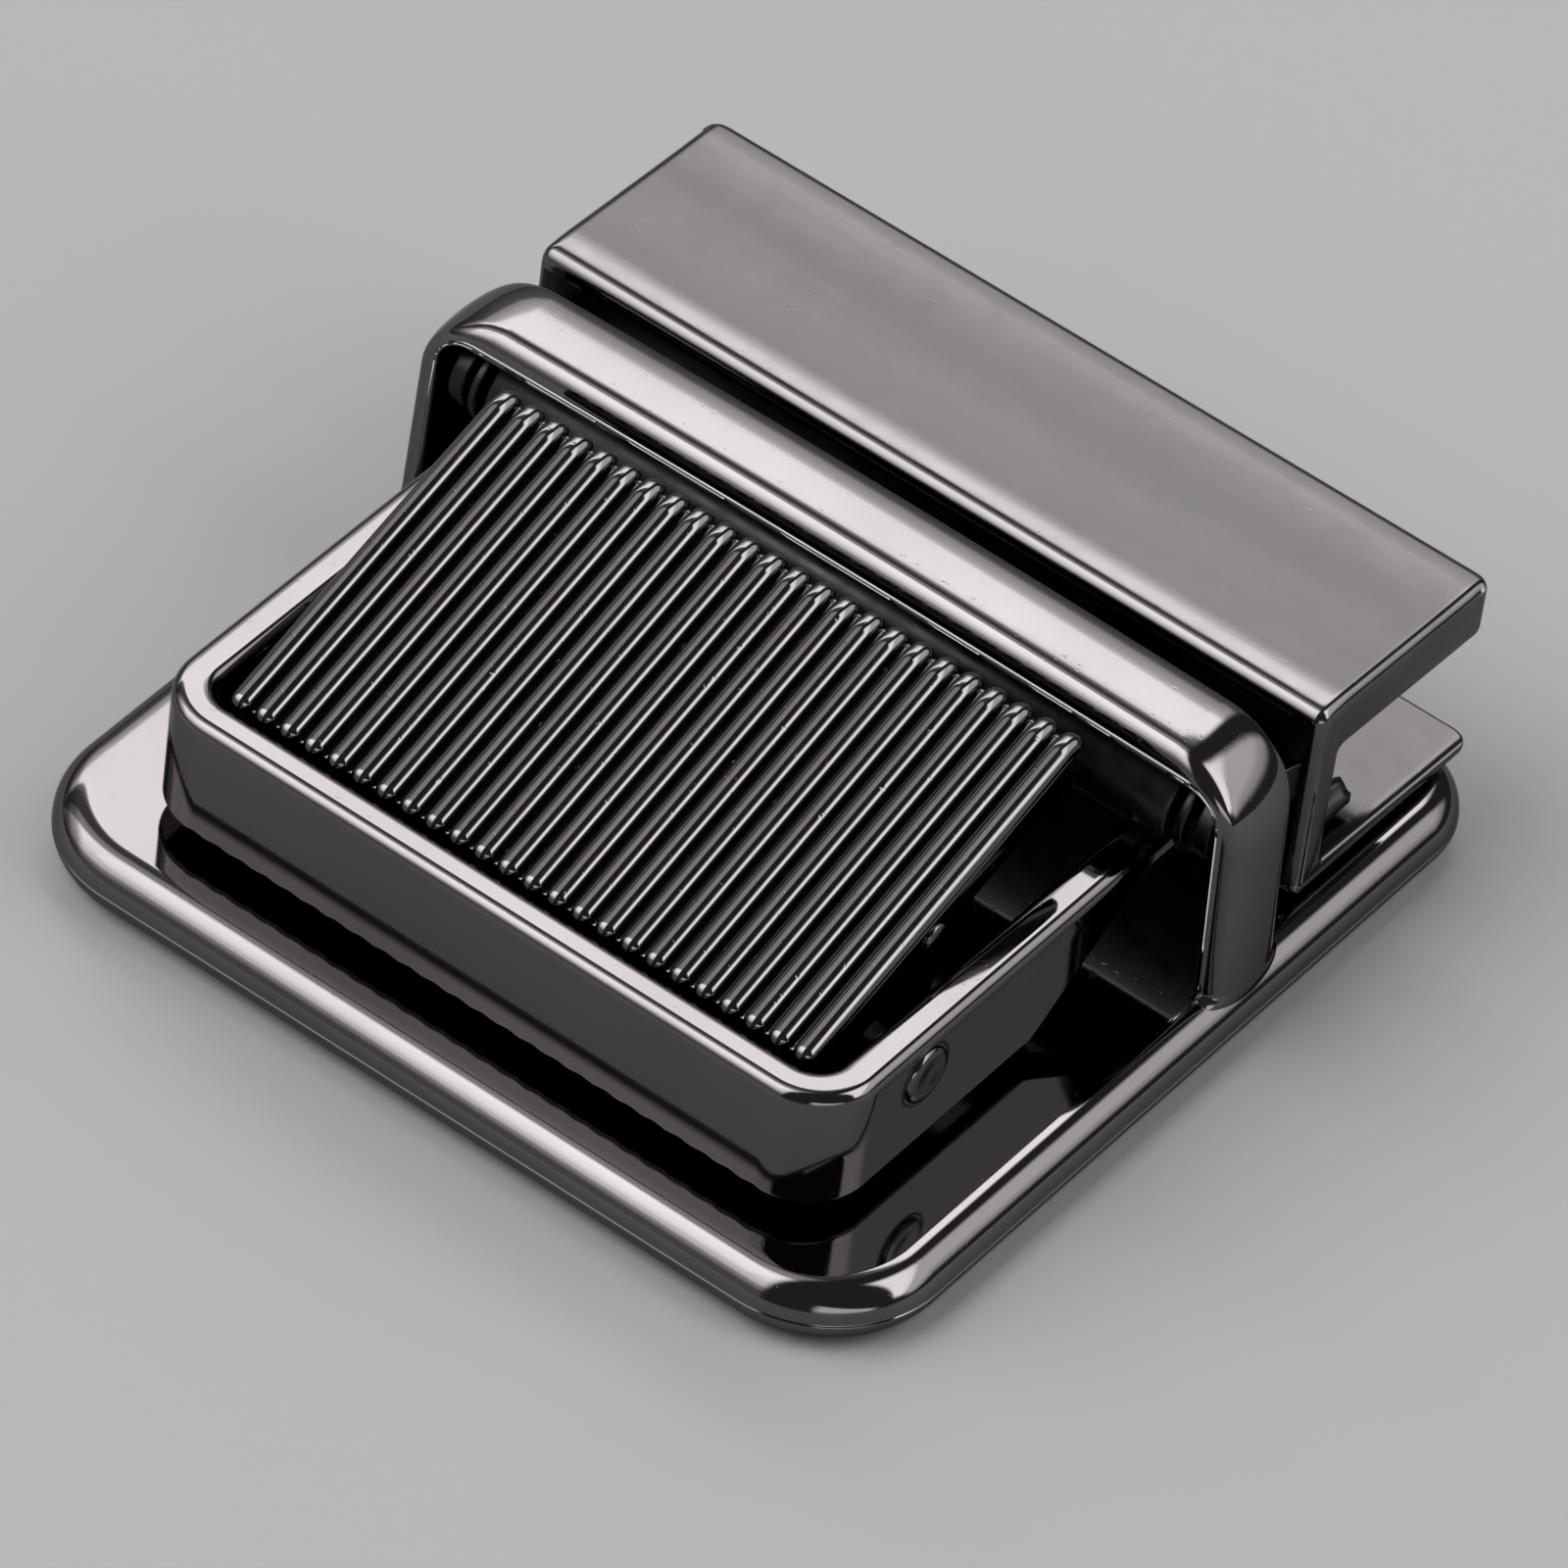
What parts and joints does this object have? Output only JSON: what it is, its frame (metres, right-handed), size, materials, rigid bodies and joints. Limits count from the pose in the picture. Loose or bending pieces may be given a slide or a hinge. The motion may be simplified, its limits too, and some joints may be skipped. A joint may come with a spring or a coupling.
{
  "type": "belt buckle",
  "caption": "Dress belt buckle with a plain square face plate, a hinged frame with a ribbed clamping lever, a keeper arch and a swinging channel clamp for the strap.",
  "frame": {"origin": "centre of the face plate's outer face, on which the buckle rests", "axes": "+Z from the face towards the wearer, +Y along the belt towards the strap's fixed end, +X across the belt"},
  "size_m": [0.0384, 0.0384, 0.0138],
  "materials": {
    "plate_plating": "mirror gunmetal plating",
    "arch_plating": "mirror gunmetal plating",
    "frame_plating": "mirror gunmetal plating",
    "lever_plating": "polished gunmetal plating",
    "clamp_plating": "polished gunmetal plating",
    "bar_steel": "stamped, blackened",
    "pin_steel": "turned, plated over",
    "spring_steel": "drawn wire",
    "washer_steel": "stamped, blackened"
  },
  "bodies": {
    "plate_body": {"face_plate": "plate_plating", "keeper_arch": "arch_plating", "hinge_axle": "pin_steel", "axle_washer_left": "washer_steel", "axle_washer_right": "washer_steel"},
    "frame_body": {"cam_frame": "frame_plating", "lever_pin": "pin_steel", "lever_spring": "spring_steel"},
    "lever_body": {"grip_lever": "lever_plating"},
    "clamp_body": {"strap_clamp": "clamp_plating", "clamp_tooth_bar": "bar_steel"}
  },
  "joints": [
    {"name": "frame_hinge", "type": "hinge", "parent": "plate_body", "child": "frame_body", "pos_m": [0, 0.0043, 0.00925], "axis": [-1, 0, 0], "range_deg": [0, 15]},
    {"name": "lever_hinge", "type": "hinge", "parent": "frame_body", "child": "lever_body", "pos_m": [0, -0.01085, 0.0069], "axis": [-1, 0, 0], "range_deg": [0, 17], "stiffness_Nm_per_rad": 0.02, "springref_deg": -17.19},
    {"name": "clamp_hinge", "type": "hinge", "parent": "plate_body", "child": "clamp_body", "pos_m": [0, 0.0043, 0.00925], "axis": [1, 0, 0], "range_deg": [0, 25]}
  ]
}
